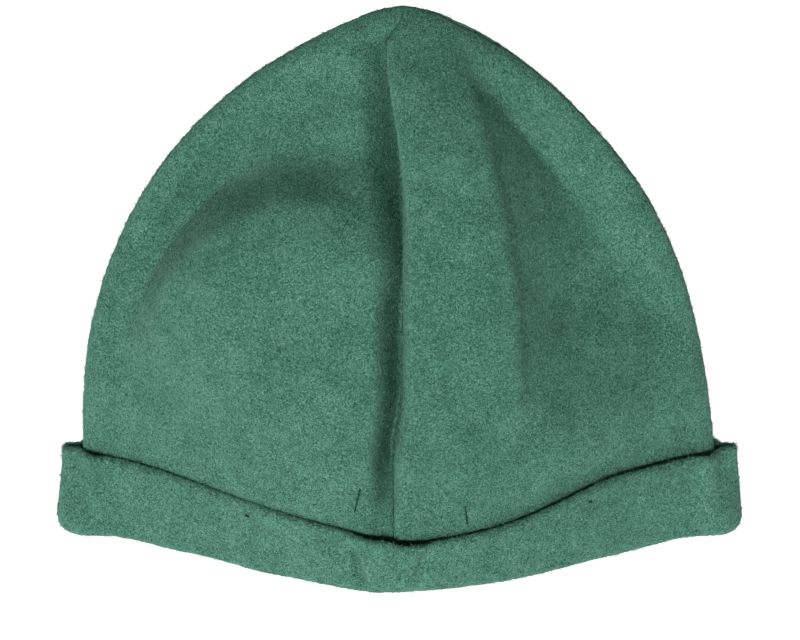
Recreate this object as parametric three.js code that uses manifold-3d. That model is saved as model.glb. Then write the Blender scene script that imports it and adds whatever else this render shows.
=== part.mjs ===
// A boiled-wool beanie with a turned-up edge, standing open on its fold.
// Four gores are seamed at the front, the back and both sides, and meet at the peak.
// Millimetres, +Z up. The front seam faces -Y, and +X is to the right of it.
// The origin is the centre of the head opening, on the plane that the fold rests on.
import * as THREE from 'three';
import { mergeVertices } from 'three/addons/utils/BufferGeometryUtils.js';
import Module from 'manifold-3d';

const wasm = await Module();
wasm.setup();

// Driving dimensions.
const HEIGHT = 210;
const CROWN_HALF_WIDTH = 120.5;
const CROWN_HALF_DEPTH = 50.4;
const CLOTH = 2.6;
const SEAM_GAP = 0.3;

// How the crown narrows from its rim to its peak, across and from front to back.
const WIDTH_CURVE = { power: 2.72, root: 0.723 };
const DEPTH_CURVE = { power: 2.4, root: 0.8 };
const BELLY = 9;
const BELLY_PEAK = 0.8;
const RIM_FLARE = 3;
const FLARE_REACH = 25;

// The side seams are pinched nearly flat at the rim, and open into rounder sections higher up.
// Fullness is how far the flanks are rounded out, from 0, drawn to a point, to 1, an even curve.
const NOSE = { rim: 2.4, crown: 10.4 };
const NOSE_LIMIT = 0.4;
const FULLNESS = { rim: 0.6, crown: 1 };
const ROUND_FROM = 25;
const ROUND_TO = 110;

// The front seam lies in a valley, steep on the right and long on the left.
const FRONT_VALLEY = { depth: 8, left: 11, right: 3.5, from: 22, to: 202 };
const BACK_VALLEY = { depth: 2, left: 10, right: 10, from: 22, to: 202 };
const VALLEY_FULLNESS = 0.8;
const VALLEY_LIMIT = 0.6;

// The turned-up edge: its height at the sides, how it dips towards the front and back seams
// between two distances from them, and how it stands off the crown, less so at its free edge.
const CUFF_HEIGHT = 32;
const CUFF_DIPS = {
  front_left: { depth: 9.9, from: -15, to: 125 },
  front_right: { depth: 9.6, from: 30, to: 85 },
  back: { depth: 9.6, from: 15, to: 85 },
};
const STAND_OFF = { flank: 3.3, front: 5.6, side: 8.5, frontReach: 40, sideReach: 10 };
const CLOSING_IN = 0.08;
const FOLD_ANGLES = [40, 75, 105, 140].map(THREE.MathUtils.degToRad);
const REST_LAND_HALF_ANGLE = THREE.MathUtils.degToRad(15);
const REST_LAND_SNAP = 0.2;

// Seam allowances, pressed open against the inside of the crown.
const ALLOWANCE = { start: 2.6, edge: 0.3, width: 8.5, thickness: 1.2 };
const ALLOWANCE_HEIGHTS = { from: 12, fadeFrom: 168, fadeTo: 190 };
const SEAM_ROUND = 0.8;

// How finely the gores are stepped.
const SEAM_STEPS = [
  0, ALLOWANCE.start, ALLOWANCE.start + ALLOWANCE.edge,
  5, ALLOWANCE.width, ALLOWANCE.width + ALLOWANCE.edge,
];
const MIDDLE_STEPS = 6;
const CROWN_STEPS = 16;
const CUFF_STEPS = 3;
const CROWN_START = CUFF_STEPS + FOLD_ANGLES.length + 1;
const PLAN_STEPS = 160;

const mid = CLOTH / 2;
const crownTop = HEIGHT - mid;
const smooth = (t) => THREE.MathUtils.smoothstep(t, 0, 1);
const bell = (x, reach) => Math.exp(-((x / reach) ** 2));

// ---- The crown's shape -------------------------------------------------------

function narrowing(z, curve) {
  const share = THREE.MathUtils.clamp(z / crownTop, 0, 1);
  return (1 - share ** curve.power) ** curve.root;
}

function halfWidth(z) {
  return (CROWN_HALF_WIDTH - mid) * narrowing(z, WIDTH_CURVE)
    + RIM_FLARE * Math.exp(-z / FLARE_REACH);
}

function halfDepth(z) {
  const share = THREE.MathUtils.clamp(z / crownTop, 0, 1);
  return (CROWN_HALF_DEPTH - mid) * narrowing(z, DEPTH_CURVE)
    + BELLY * Math.sin(Math.PI * share ** BELLY_PEAK);
}

// How far the seam's valley draws the cloth inwards, at x to the right of the seam.
function valleyDepth(valley, x, z) {
  const share = THREE.MathUtils.clamp((z - valley.from) / (valley.to - valley.from), 0, 1);
  const reach = x < 0 ? valley.left : valley.right;
  return valley.depth * Math.sin(Math.PI * share) ** VALLEY_FULLNESS * Math.exp(-Math.abs(x) / reach);
}

// The middle of the cloth in one quarter of the crown, as a level line at height z,
// from the front or back seam (x = 0) to the side seam (y = 0).
function planLine(gore, z) {
  const a = halfWidth(z);
  const b = halfDepth(z);
  const roundness = THREE.MathUtils.smoothstep(z, ROUND_FROM, ROUND_TO);
  const fullness = THREE.MathUtils.lerp(FULLNESS.rim, FULLNESS.crown, roundness);
  const nose = Math.min(THREE.MathUtils.lerp(NOSE.rim, NOSE.crown, roundness), NOSE_LIMIT * b);
  const valley = gore.back ? BACK_VALLEY : FRONT_VALLEY;
  const points = [];
  for (let i = 0; i <= PLAN_STEPS; i++) {
    const p = 1 - i / PLAN_STEPS;
    const across = 1 - p * p;
    const pinched = 1 - smooth(across);
    const rounded = 1 - across * across;
    const flank = THREE.MathUtils.lerp(pinched, rounded, fullness);
    const tip = nose * Math.tanh(p * Math.sqrt(2 * a / Math.max(nose, 1e-6)));
    const sunk = Math.min(valleyDepth(valley, gore.left ? -a * across : a * across, z), VALLEY_LIMIT * b);
    points.push(new THREE.Vector2(a * across, tip + (b - nose) * flank - sunk));
  }
  return points;
}

// Points along a level line, at steps that keep a fixed distance to both seams.
function stepAlong(points) {
  const lengths = [0];
  for (let i = 1; i < points.length; i++) {
    lengths.push(lengths[i - 1] + points[i].distanceTo(points[i - 1]));
  }
  const total = lengths[lengths.length - 1];
  const reach = SEAM_STEPS[SEAM_STEPS.length - 1];
  const squeeze = Math.min(1, total / (3 * reach));
  const near = SEAM_STEPS.map((d) => d * squeeze);
  const middle = Array.from({ length: MIDDLE_STEPS }, (_, i) => {
    const share = (i + 1) / (MIDDLE_STEPS + 1);
    return THREE.MathUtils.lerp(reach * squeeze, total - reach * squeeze, share);
  });
  const far = near.map((d) => total - d).reverse();
  return [...near, ...middle, ...far].map((d) => {
    let i = 1;
    while (i < lengths.length - 1 && lengths[i] < d) i++;
    const share = (d - lengths[i - 1]) / Math.max(lengths[i] - lengths[i - 1], 1e-9);
    return points[i - 1].clone().lerp(points[i], THREE.MathUtils.clamp(share, 0, 1));
  });
}

// ---- The turned-up edge ------------------------------------------------------

function standOff(x) {
  const toSide = halfWidth(0) - x;
  return STAND_OFF.flank
    + (STAND_OFF.front - STAND_OFF.flank) * bell(x, STAND_OFF.frontReach)
    + (STAND_OFF.side - STAND_OFF.flank) * bell(toSide, STAND_OFF.sideReach);
}

function cuffHeight(gore, x) {
  const front = gore.left ? CUFF_DIPS.front_left : CUFF_DIPS.front_right;
  const dip = gore.back ? CUFF_DIPS.back : front;
  return CUFF_HEIGHT - dip.depth * (1 - THREE.MathUtils.smoothstep(x, dip.from, dip.to));
}

// Outward direction of the level line at each of its steps, square to the seam planes at both ends.
function outwardNormals(line) {
  return line.map((point, i) => {
    if (i === 0) return new THREE.Vector2(0, 1);
    if (i === line.length - 1) return new THREE.Vector2(1, 0);
    const along = line[i + 1].clone().sub(line[i - 1]).normalize();
    return new THREE.Vector2(-along.y, along.x);
  });
}

// ---- A gore as rows of points through the middle of the cloth -----------------

// The crown's rows, from where it leaves the fold up to the peak.
function crownRows(gore, foldHeights) {
  const rows = [];
  for (let i = 0; i < CROWN_STEPS; i++) {
    const rise = Math.sin((i / CROWN_STEPS) * Math.PI / 2);
    const level = stepAlong(planLine(gore, rise * crownTop));
    rows.push(level.map((point, j) => {
      const z = THREE.MathUtils.lerp(foldHeights[j], crownTop, rise);
      return new THREE.Vector3(point.x, point.y, z);
    }));
  }
  rows.push(foldHeights.map(() => new THREE.Vector3(0, 0, crownTop)));
  return rows;
}

// Where column j of the crown stands at height z.
function columnAt(crown, j, z) {
  const above = Math.max(1, crown.findIndex((row) => row[j].z >= z));
  const low = crown[above - 1][j];
  const high = crown[above][j];
  return low.clone().lerp(high, (z - low.z) / (high.z - low.z));
}

// Rows run from the free edge of the turned-up part, down, round the fold and up to the peak.
// In here a gore is always the quarter where x and y are positive.
function goreRows(gore) {
  const hem = stepAlong(planLine(gore, 0));
  const normals = outwardNormals(hem).map((n) => new THREE.Vector3(n.x, n.y, 0));
  const radii = hem.map((point) => standOff(point.x) / 2);
  const foldHeights = radii.map((r) => (r + mid) * Math.cos(REST_LAND_HALF_ANGLE));
  const crown = crownRows(gore, foldHeights);
  const cuff = Array.from({ length: CUFF_STEPS }, (_, i) => {
    const up = 1 - i / CUFF_STEPS;
    return hem.map((point, j) => {
      const z = THREE.MathUtils.lerp(foldHeights[j], cuffHeight(gore, point.x), up);
      return columnAt(crown, j, z).addScaledVector(normals[j], 2 * radii[j] * (1 - CLOSING_IN * up));
    });
  });
  const fold = [0, ...FOLD_ANGLES].map((angle) => hem.map((point, j) => {
    const down = new THREE.Vector3(0, 0, foldHeights[j] - radii[j] * Math.sin(angle));
    return down.add(new THREE.Vector3(point.x, point.y, 0))
      .addScaledVector(normals[j], radii[j] * (1 + Math.cos(angle)));
  }));
  return [...cuff, ...fold, ...crown];
}

// Unit directions from the right side of the cloth to its wrong side.
function wrongSideNormals(rows) {
  const last = rows.length - 1;
  return rows.map((row, i) => row.map((point, j) => {
    if (i === last) return new THREE.Vector3(0, 0, -1);
    const down = rows[i + 1][j].clone().sub(rows[Math.max(i - 1, 0)][j]);
    const across = row[Math.min(j + 1, row.length - 1)].clone().sub(row[Math.max(j - 1, 0)]);
    const normal = down.cross(across).negate();
    if (j === 0) normal.x = 0;
    if (j === row.length - 1) normal.y = 0;
    return normal.normalize();
  }));
}

// How much thicker the seam allowance makes the wrong side, at column j.
function allowanceAt(j, columns, z, onCrown) {
  if (!onCrown || z < ALLOWANCE_HEIGHTS.from) return 0;
  const fromSeam = Math.min(j, columns - 1 - j);
  const under = fromSeam >= 2 && fromSeam <= SEAM_STEPS.length - 2;
  const fade = 1 - THREE.MathUtils.smoothstep(z, ALLOWANCE_HEIGHTS.fadeFrom, ALLOWANCE_HEIGHTS.fadeTo);
  return under ? ALLOWANCE.thickness * fade : 0;
}

// ---- Turning rows into closed solids ------------------------------------------

function closedGeometry(triangles) {
  const geometry = new THREE.BufferGeometry();
  geometry.setAttribute('position', new THREE.Float32BufferAttribute(triangles.flat(2), 3));
  return mergeVertices(geometry, 1e-4);
}

// A sheet with a front and a back face over the same rows, closed round its edges.
// Quads that shrink to a point or a line at the peak leave out their empty halves.
function sheetGeometry(front, back) {
  const triangles = [];
  const same = (p, q) => p.distanceToSquared(q) < 1e-8;
  const triangle = (a, b, c) => {
    if (!same(a, b) && !same(b, c) && !same(c, a)) triangles.push([a, b, c].map((p) => p.toArray()));
  };
  const quad = (a, b, c, d) => {
    triangle(a, b, c);
    triangle(a, c, d);
  };
  const last = front.length - 1;
  const end = front[0].length - 1;
  for (let i = 0; i < last; i++) {
    for (let j = 0; j < end; j++) {
      quad(front[i][j], front[i][j + 1], front[i + 1][j + 1], front[i + 1][j]);
      quad(back[i][j], back[i + 1][j], back[i + 1][j + 1], back[i][j + 1]);
    }
    quad(front[i][0], front[i + 1][0], back[i + 1][0], back[i][0]);
    quad(front[i][end], back[i][end], back[i + 1][end], front[i + 1][end]);
  }
  for (let j = 0; j < end; j++) {
    quad(front[0][j], back[0][j], back[0][j + 1], front[0][j + 1]);
    quad(front[last][j], front[last][j + 1], back[last][j + 1], back[last][j]);
  }
  return closedGeometry(triangles);
}

// Puts a point of the positive quarter into the gore's own quarter.
function place(gore, point) {
  return new THREE.Vector3(gore.left ? -point.x : point.x, gore.back ? point.y : -point.y, point.z);
}

function goreGeometry(gore) {
  const rows = goreRows(gore);
  const normals = wrongSideNormals(rows);
  const columns = rows[0].length;
  const clear = (point) => {
    point.x = Math.max(point.x, SEAM_GAP / 2);
    point.y = Math.max(point.y, SEAM_GAP / 2);
    if (point.z < REST_LAND_SNAP) point.z = 0;
    return place(gore, point);
  };
  const offsetRows = (amount) => rows.map((row, i) => row.map((point, j) => (
    clear(point.clone().addScaledVector(normals[i][j], amount(i, j, point.z)))
  )));
  const wrongSide = offsetRows((i, j, z) => mid + allowanceAt(j, columns, z, i >= CROWN_START));
  const rightSide = offsetRows((i, j) => {
    const atSeam = j === 0 || j === columns - 1;
    return atSeam && i < rows.length - 1 ? SEAM_ROUND - mid : -mid;
  });
  const mirrored = gore.left !== gore.back;
  return mirrored ? sheetGeometry(wrongSide, rightSide) : sheetGeometry(rightSide, wrongSide);
}

// ---- Joining and cutting --------------------------------------------------------

function toManifold(geometry) {
  const bare = geometry.clone();
  bare.deleteAttribute('normal');
  bare.deleteAttribute('uv');
  const merged = mergeVertices(bare, 1e-4);
  return new wasm.Manifold(new wasm.Mesh({
    numProp: 3,
    vertProperties: new Float32Array(merged.attributes.position.array),
    triVerts: new Uint32Array(merged.index.array),
  }));
}

function fromManifold(solid) {
  const mesh = solid.getMesh();
  const geometry = new THREE.BufferGeometry();
  geometry.setAttribute('position', new THREE.BufferAttribute(mesh.vertProperties, 3));
  geometry.setIndex(new THREE.BufferAttribute(mesh.triVerts, 1));
  return geometry;
}

function cut(geometry, tools) {
  return fromManifold(tools.reduce((solid, tool) => solid.subtract(toManifold(tool)), toManifold(geometry)));
}

// ---- Places on the cloth --------------------------------------------------------

// The point in the middle of the crown's cloth at signed x and height z, with its inward direction.
function onCrown(x, z, back = false) {
  const gore = { left: x < 0, back };
  const line = planLine(gore, z);
  const reach = Math.abs(x);
  const depthAt = (d) => {
    const i = Math.max(1, line.findIndex((point) => point.x >= d));
    const share = (d - line[i - 1].x) / (line[i].x - line[i - 1].x);
    return THREE.MathUtils.lerp(line[i - 1].y, line[i].y, share);
  };
  const slope = reach < 0.5 ? 0 : (depthAt(reach + 0.5) - depthAt(reach - 0.5));
  const inward = new THREE.Vector3(slope, -1, 0).normalize();
  return { point: place(gore, new THREE.Vector3(reach, depthAt(reach), z)), inward: place(gore, inward) };
}

// Turns a shape that was made along +Y so that +Y points along the given direction.
function aim(geometry, direction, position) {
  const turn = new THREE.Quaternion().setFromUnitVectors(new THREE.Vector3(0, 1, 0), direction);
  return geometry.applyQuaternion(turn).translate(position.x, position.y, position.z);
}

// ---- Sewing threads, labels and tacks --------------------------------------------

const THREAD_RADIUS = 0.3;
const THREAD_DEPTH = mid + SEAM_GAP + THREAD_RADIUS;
const PEAK_CLEARANCE = 8;

// The line of a seam, just inside the cloth, from above the fold to the peak.
// Column 0 of a gore is its front or back seam, and its last column is its side seam.
function seamLine(gore, side) {
  const rows = goreRows(gore);
  const normals = wrongSideNormals(rows);
  const column = side ? rows[0].length - 1 : 0;
  return rows
    .map((row, i) => place(gore, row[column].clone().addScaledVector(normals[i][column], THREAD_DEPTH)))
    .slice(CROWN_START + 1);
}

// A six-sided cord through points that lie in one plane, with the given direction square to it.
function cordGeometry(points, square) {
  const sides = 6;
  const last = points.length - 1;
  const rings = points.map((point, i) => {
    const along = points[Math.min(i + 1, last)].clone().sub(points[Math.max(i - 1, 0)]).normalize();
    const out = new THREE.Vector3().crossVectors(square, along);
    return Array.from({ length: sides }, (_, k) => {
      const angle = (2 * Math.PI * k) / sides;
      return point.clone()
        .addScaledVector(out, THREAD_RADIUS * Math.cos(angle))
        .addScaledVector(square, THREAD_RADIUS * Math.sin(angle));
    });
  });
  const triangles = [];
  for (let k = 0; k < sides; k++) {
    const next = (k + 1) % sides;
    for (let i = 0; i < last; i++) {
      triangles.push([rings[i][k], rings[i][next], rings[i + 1][next]]);
      triangles.push([rings[i][k], rings[i + 1][next], rings[i + 1][k]]);
    }
    triangles.push([points[0], rings[0][next], rings[0][k]]);
    triangles.push([points[last], rings[last][k], rings[last][next]]);
  }
  return closedGeometry(triangles.map((corners) => corners.map((p) => p.toArray())));
}

function centreSeamThread() {
  const front = seamLine({ left: false, back: false }, false);
  const back = seamLine({ left: false, back: true }, false);
  return cordGeometry([...front, ...back.slice(0, -1).reverse()], new THREE.Vector3(1, 0, 0));
}

function sideSeamThread(left) {
  const points = seamLine({ left, back: false }, true).filter((p) => Math.abs(p.x) > PEAK_CLEARANCE);
  return cordGeometry(points, new THREE.Vector3(0, 1, 0));
}

const LABEL = { centre: 4.5, middle: 33.4, width: 42, height: 12, thickness: 0.5, gap: 0.8, stitchInset: 1.8 };
const LABEL_SLOPE = -0.18;
const LABEL_DEPTH = mid + ALLOWANCE.thickness + LABEL.gap + LABEL.thickness / 2;

// The height of the label's middle at x: it was sewn in a little askew.
const labelMiddle = (x) => LABEL.middle + LABEL_SLOPE * (x - LABEL.centre);

// A woven strip across the front seam, on the inside of the crown.
function wovenLabel() {
  const columns = 12;
  const row = (rise, depth) => Array.from({ length: columns + 1 }, (_, i) => {
    const x = LABEL.centre + LABEL.width * (i / columns - 0.5);
    const { point, inward } = onCrown(x, labelMiddle(x) + rise);
    return point.clone().addScaledVector(inward, depth);
  });
  const face = (depth) => [1, -1].map((end) => row(end * LABEL.height / 2, depth));
  return sheetGeometry(face(LABEL_DEPTH + LABEL.thickness / 2), face(LABEL_DEPTH - LABEL.thickness / 2));
}

// How far a stitch hole is cut past both ends of its stitch.
const CUT_PAST = 1.2;

// A short upright row of stitches that holds one end of the label to the cloth.
const STITCH_ROW = { width: 0.7, height: 9.5, proud: 0.3, shortOfLabel: 0.6 };

function stitchRow(side, slack = 0) {
  const x = LABEL.centre + side * (LABEL.width / 2 - LABEL.stitchInset);
  const { point, inward } = onCrown(x, labelMiddle(x));
  const past = slack > 0 ? CUT_PAST : 0;
  const start = -mid - STITCH_ROW.proud - past;
  const stop = LABEL_DEPTH - LABEL.thickness / 2 - STITCH_ROW.shortOfLabel + past;
  const size = [STITCH_ROW.width + 2 * slack, stop - start, STITCH_ROW.height + 2 * slack];
  const box = new THREE.BoxGeometry(...size);
  box.translate(0, (start + stop) / 2, 0);
  return aim(box, inward, point);
}

// A single hand tack that pins the turned-up edge to the crown.
const TACK = { radius: 0.6, proud: 0.3 };

function tack(spot, slack = 0) {
  const { point, inward } = onCrown(spot.x, spot.z, spot.back);
  const off = standOff(Math.abs(spot.x));
  const past = slack > 0 ? CUT_PAST : 0;
  const start = -off - CLOTH - TACK.proud - past;
  const stop = mid + TACK.proud + past;
  const pin = new THREE.CylinderGeometry(TACK.radius + slack, TACK.radius + slack, stop - start, 8);
  pin.translate(0, (start + stop) / 2, 0);
  return aim(pin, inward, point);
}

// A folded care label, caught in the left side seam and hanging free inside.
const CARE_LABEL = { width: 18, height: 30, thickness: 0.6, top: 80, fromSeam: 16 };

function careLabel() {
  const label = new THREE.BoxGeometry(CARE_LABEL.width, CARE_LABEL.thickness, CARE_LABEL.height);
  const x = -halfWidth(CARE_LABEL.top) + CARE_LABEL.fromSeam;
  return label.translate(x, 0, CARE_LABEL.top - CARE_LABEL.height / 2);
}

// ---- The whole hat -----------------------------------------------------------------

const GORES = [
  { name: 'front_left_gore', left: true, back: false },
  { name: 'front_right_gore', left: false, back: false },
  { name: 'back_left_gore', left: true, back: true },
  { name: 'back_right_gore', left: false, back: true },
];

const TACKS = [
  { name: 'front_left_tack', x: -56, z: 23.5, back: false },
  { name: 'front_right_tack', x: 70, z: 26.5, back: false },
  { name: 'back_left_tack', x: -62, z: 24, back: true },
  { name: 'back_right_tack', x: 62, z: 24, back: true },
];

const wool = { color: 0x4a7e6a, roughness: 0.95, metalness: 0 };
const thread = { color: 0x2c5547, roughness: 0.7, metalness: 0 };
const ribbon = { color: 0x24443a, roughness: 0.6, metalness: 0 };
const satin = { color: 0xe6e4dc, roughness: 0.5, metalness: 0 };

const hat = new THREE.Group();

function add(name, geometry, finish) {
  const mesh = new THREE.Mesh(geometry, new THREE.MeshStandardMaterial(finish));
  mesh.name = name;
  hat.add(mesh);
}

for (const gore of GORES) {
  const holes = TACKS
    .filter((t) => t.back === gore.back && (t.x < 0) === gore.left)
    .map((t) => tack(t, SEAM_GAP));
  if (!gore.back) holes.push(stitchRow(gore.left ? -1 : 1, SEAM_GAP));
  add(gore.name, cut(goreGeometry(gore), holes), wool);
}
for (const t of TACKS) add(t.name, tack(t), thread);
add('centre_seam_thread', centreSeamThread(), thread);
add('left_seam_thread', sideSeamThread(true), thread);
add('right_seam_thread', sideSeamThread(false), thread);
add('woven_label', wovenLabel(), ribbon);
add('label_stitches_left', stitchRow(-1), thread);
add('label_stitches_right', stitchRow(1), thread);
add('care_label', careLabel(), satin);

export default hat;
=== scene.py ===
import math

import bmesh
import bpy
import numpy as np
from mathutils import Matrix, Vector
from mathutils.bvhtree import BVHTree


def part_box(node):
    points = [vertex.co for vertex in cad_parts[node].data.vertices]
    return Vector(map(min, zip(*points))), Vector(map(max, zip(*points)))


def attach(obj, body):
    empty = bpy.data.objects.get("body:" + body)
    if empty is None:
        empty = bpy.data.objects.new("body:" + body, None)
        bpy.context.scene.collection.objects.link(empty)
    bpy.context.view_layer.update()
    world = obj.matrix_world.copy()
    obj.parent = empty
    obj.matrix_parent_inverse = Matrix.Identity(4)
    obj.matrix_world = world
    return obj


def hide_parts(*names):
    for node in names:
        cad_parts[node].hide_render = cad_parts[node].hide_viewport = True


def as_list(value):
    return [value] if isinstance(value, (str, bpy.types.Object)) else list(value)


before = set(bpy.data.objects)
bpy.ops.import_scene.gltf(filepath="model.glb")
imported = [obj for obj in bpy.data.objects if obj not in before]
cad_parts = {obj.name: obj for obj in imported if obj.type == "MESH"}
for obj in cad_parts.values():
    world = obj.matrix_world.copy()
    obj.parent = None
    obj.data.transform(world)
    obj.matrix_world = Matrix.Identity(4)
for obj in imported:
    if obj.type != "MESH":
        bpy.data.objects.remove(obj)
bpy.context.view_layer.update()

# The looks of the boiled-wool beanie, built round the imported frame.
# Lengths here are millimetres in the frame's own axes, and MM turns them into metres.
# The front seam faces -Y. Each gore is worked out in the quarter where x and y are positive, and is
# then put into its own quarter.

MM = 0.001


def node_box(name):
    low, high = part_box(name)
    return np.array(low) / MM, np.array(high) / MM


# ---- Driving sizes --------------------------------------------------------------------------
# A SPAN is two heights, distances or turns in degrees for ramp: where it is 0, and where it is 1.
# A REACH is the distance over which a bell or a slope dies away.

HEIGHT = node_box("front_right_gore")[1][2]
CLOTH = 2.6
MID = CLOTH / 2
CROWN_TOP = HEIGHT - MID
CROWN_HALF_WIDTH, CROWN_HALF_DEPTH = 120.5, 50.4
WIDTH_CURVE, DEPTH_CURVE = (2.72, 0.723), (2.4, 0.8)
BELLY, BELLY_PEAK = 9.0, 0.8
PEAK_BLUNTNESS, PEAK_BLUNT_SPAN = 0.2, (203, 208)
RIM_FLARE, FLARE_REACH = 3.0, 25.0
NOSE_RIM, NOSE_CROWN, NOSE_LIMIT = 2.4, 10.4, 0.4
FLANK_FULLNESS = 0.42
ROUND_SPAN = (25, 110)

# The valley beside the front seam: its depth at the rim, what it gains further up, and its ends.
VALLEY_DEPTH, VALLEY_LIMIT = 3, 0.8
VALLEY_GAIN, VALLEY_GAIN_SPAN = 15, (22, 56)
VALLEY_UPPER_GAIN, VALLEY_UPPER_SPAN = 7, (125, 160)
VALLEY_BOTTOM_SPAN, VALLEY_TOP_SPAN = (8, 28), (207, 183)
# To its left are a long slope and a steep side, and to its right a lip. Each pair is low and high up.
SLOPE_SHARE, SLOPE_REACH = (0.18, 0.68), (11, 19)
STEEP_FROM, STEEP_WIDTH = 1.5, (9, 11)
LIP_WIDTH, LIP_SPAN = (4, 2.2), (140, 170)
BACK_VALLEY_DEPTH, BACK_VALLEY_REACH = 2.4, 9
BACK_VALLEY_BOTTOM_SPAN, BACK_VALLEY_TOP_SPAN = (15, 60), (205, 155)

# The turned-up edge: how it dips towards the front and back seams, as depth, start and end.
CUFF_HEIGHT = 34.2
CUFF_DIPS = {"front_left": (9.9, -15, 125), "front_right": (9.6, 30, 85), "back": (9.6, 15, 85)}
CUFF_NOTCH, CUFF_NOTCH_X, CUFF_NOTCH_REACH = 2.5, 9.5, 20.0
STAND_OFF_FLANK, STAND_OFF_FRONT, STAND_OFF_SIDE = 3.3, 5.6, 8.5
STAND_OFF_FRONT_REACH, STAND_OFF_SIDE_REACH = 40.0, 10.0
CLOSING_IN = 0.08
EDGE_GAP, EDGE_GAP_SIDE_REACH = 2.7, 9
EDGE_GAP_FRONT, EDGE_GAP_FRONT_REACH = 2.4, 13
SIDE_PINCH, SIDE_PINCH_SPAN = 0.95, (116.5, 123.5)
FOLD_SQUARENESS = 0.72
REST_LAND_HALF_ANGLE = math.radians(15)

# The seams: the allowances inside the crown, and how the right side rolls into a seam.
ALLOWANCE_WIDTH, ALLOWANCE_THICKNESS = 8.5, 1.2
ALLOWANCE_INNER_SPAN = (0.2, 1.0)
ALLOWANCE_OUTER_SPAN = (ALLOWANCE_WIDTH + 0.2, ALLOWANCE_WIDTH - 0.3)
ALLOWANCE_BOTTOM_SPAN, ALLOWANCE_TOP_SPAN = (9, 12), (190, 168)
SEAM_ROUND, SEAM_SINK = 1.4, 1.0

# How finely the cloth is stepped: at fixed distances from each seam, and between them in steps of
# about COLUMN_STEP, which widen to the side from the given share of the last one.
SEAM_STEPS = [0, 0.15, 0.4, 0.8, 1.3, 1.9, 2.6, 3.4, 4.4, 5.6, 6.8, 7.8, 8.3, 8.7, 9.4]
COLUMN_STEP, FIRST_STEP_SHARE = 1.4, 0.6
PLAN_STEPS = 1200
# Rows of the turned-up part, as shares of its height below the free edge, which is rounded.
EDGE_ROWS, AFTER_EDGE = [0, 0.005, 0.015, 0.03, 0.05, 0.075], 0.11
EDGE_ROUND, THINNEST_EDGE = 0.05, 0.04
CUFF_ROWS, FOLD_ROWS, CROWN_ROWS = 24, 14, 180
FOLD_START = len(EDGE_ROWS) + CUFF_ROWS
CROWN_START = FOLD_START + FOLD_ROWS
# How often the cloth's directions are evened out, and the least length that one is divided by.
NORMAL_ROUNDS, TINY = 5, 1e-9

TACKS = ["front_left_tack", "front_right_tack", "back_left_tack", "back_right_tack"]

GORES = {
    "front_left": (True, False),
    "front_right": (False, False),
    "back_left": (True, True),
    "back_right": (False, True),
}


def smooth(t):
    t = np.clip(t, 0, 1)
    return t * t * (3 - 2 * t)


def ramp(value, zero_at, one_at):
    """Goes smoothly from 0 to 1 between two values, of which either may be the higher."""
    return smooth((value - zero_at) / (one_at - zero_at))


def bell(x, reach):
    return np.exp(-((x / reach) ** 2))


def blend(a, b, t):
    return a + (b - a) * t


def unit(vectors):
    return vectors / np.linalg.norm(vectors, axis=-1, keepdims=True)


def distances(line):
    """How far along a line of points each of its points is."""
    return np.concatenate([[0], np.cumsum(np.linalg.norm(np.diff(line, axis=0), axis=1))])


# ---- The crown's level lines ----------------------------------------------------------------


def narrowing(z, curve):
    power, root = curve
    return (1 - np.clip(z / CROWN_TOP, 0, 1) ** power) ** root


def half_width(z):
    blunt = 1 + PEAK_BLUNTNESS * ramp(z, *PEAK_BLUNT_SPAN)
    plain = (CROWN_HALF_WIDTH - MID) * narrowing(z, WIDTH_CURVE)
    return blunt * plain + RIM_FLARE * np.exp(-z / FLARE_REACH)


def half_depth(z):
    belly = BELLY * np.sin(math.pi * np.clip(z / CROWN_TOP, 0, 1) ** BELLY_PEAK)
    return (CROWN_HALF_DEPTH - MID) * narrowing(z, DEPTH_CURVE) + belly


def front_valley(left, x, z):
    """How far the cloth is drawn in beside the front seam. Its right edge is a crisp upright lip."""
    upper = ramp(z, *VALLEY_UPPER_SPAN)
    depth = VALLEY_DEPTH + VALLEY_GAIN * ramp(z, *VALLEY_GAIN_SPAN) + VALLEY_UPPER_GAIN * upper
    depth = depth * ramp(z, *VALLEY_BOTTOM_SPAN) * ramp(z, *VALLEY_TOP_SPAN)
    depth = min(depth, VALLEY_LIMIT * half_depth(z))
    if left:
        share = blend(*SLOPE_SHARE, upper)
        slope = np.exp(-x / blend(*SLOPE_REACH, upper))
        side = 1 - smooth((x - STEEP_FROM) / blend(*STEEP_WIDTH, upper))
        return depth * (share * slope + (1 - share) * side)
    lip = np.clip(1 - x / blend(*LIP_WIDTH, ramp(z, *LIP_SPAN)), 0, 1)
    return depth * (1 - np.sqrt(1 - lip * lip))


def back_valley(x, z):
    depth = BACK_VALLEY_DEPTH * ramp(z, *BACK_VALLEY_BOTTOM_SPAN) * ramp(z, *BACK_VALLEY_TOP_SPAN)
    return depth * np.exp(-x / BACK_VALLEY_REACH)


def level_line(left, back, z):
    """The middle of the cloth at height z, from the front or back seam round to the side seam."""
    a, b = half_width(z), half_depth(z)
    roundness = ramp(z, *ROUND_SPAN)
    nose = min(blend(NOSE_RIM, NOSE_CROWN, roundness), NOSE_LIMIT * b)
    p = np.linspace(1, 0, PLAN_STEPS + 1)
    across = 1 - p * p
    flank = blend(1 - smooth(across), 1 - across**2, blend(FLANK_FULLNESS, 1, roundness))
    tip = nose * np.tanh(p * math.sqrt(2 * a / nose))
    x = a * across
    sunk = back_valley(x, z) if back else front_valley(left, x, z)
    return np.stack([x, tip + (b - nose) * flank - sunk], axis=1)


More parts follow.
